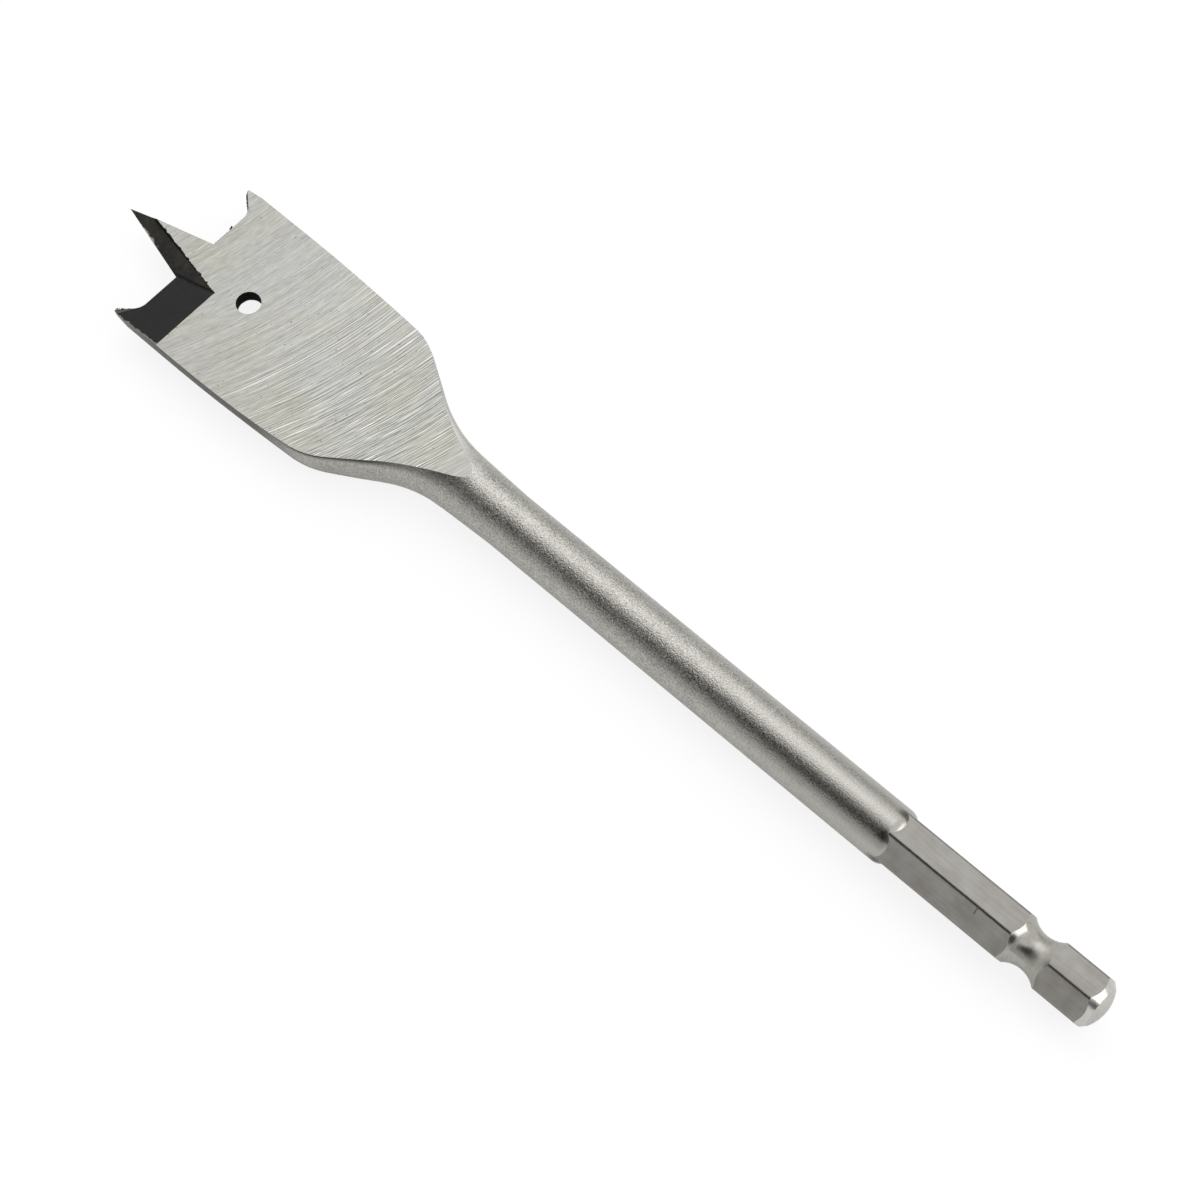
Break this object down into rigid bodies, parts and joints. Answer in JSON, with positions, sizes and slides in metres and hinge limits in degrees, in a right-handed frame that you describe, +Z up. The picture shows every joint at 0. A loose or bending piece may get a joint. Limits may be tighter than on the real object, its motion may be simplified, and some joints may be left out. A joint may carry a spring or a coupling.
{
  "type": "spade drill bit",
  "caption": "Flat steel spade bit for boring wide holes in wood: ground blade with centre point, cutting lips and spurs, round shaft and hexagon shank.",
  "frame": {"origin": "middle of the length and of the blade's width, at the lowest line of the lying bit", "axes": "X along the axis of the bit, +X towards the shank; Y across the blade; +Z up, square to the blade's faces"},
  "size_m": [0.157, 0.0236, 0.0077],
  "materials": {
    "steel": "ground blade, blackened cutting facets, blasted shaft and ground shank"
  },
  "bodies": {
    "root": {"spade_bit": "steel"}
  },
  "joints": []
}
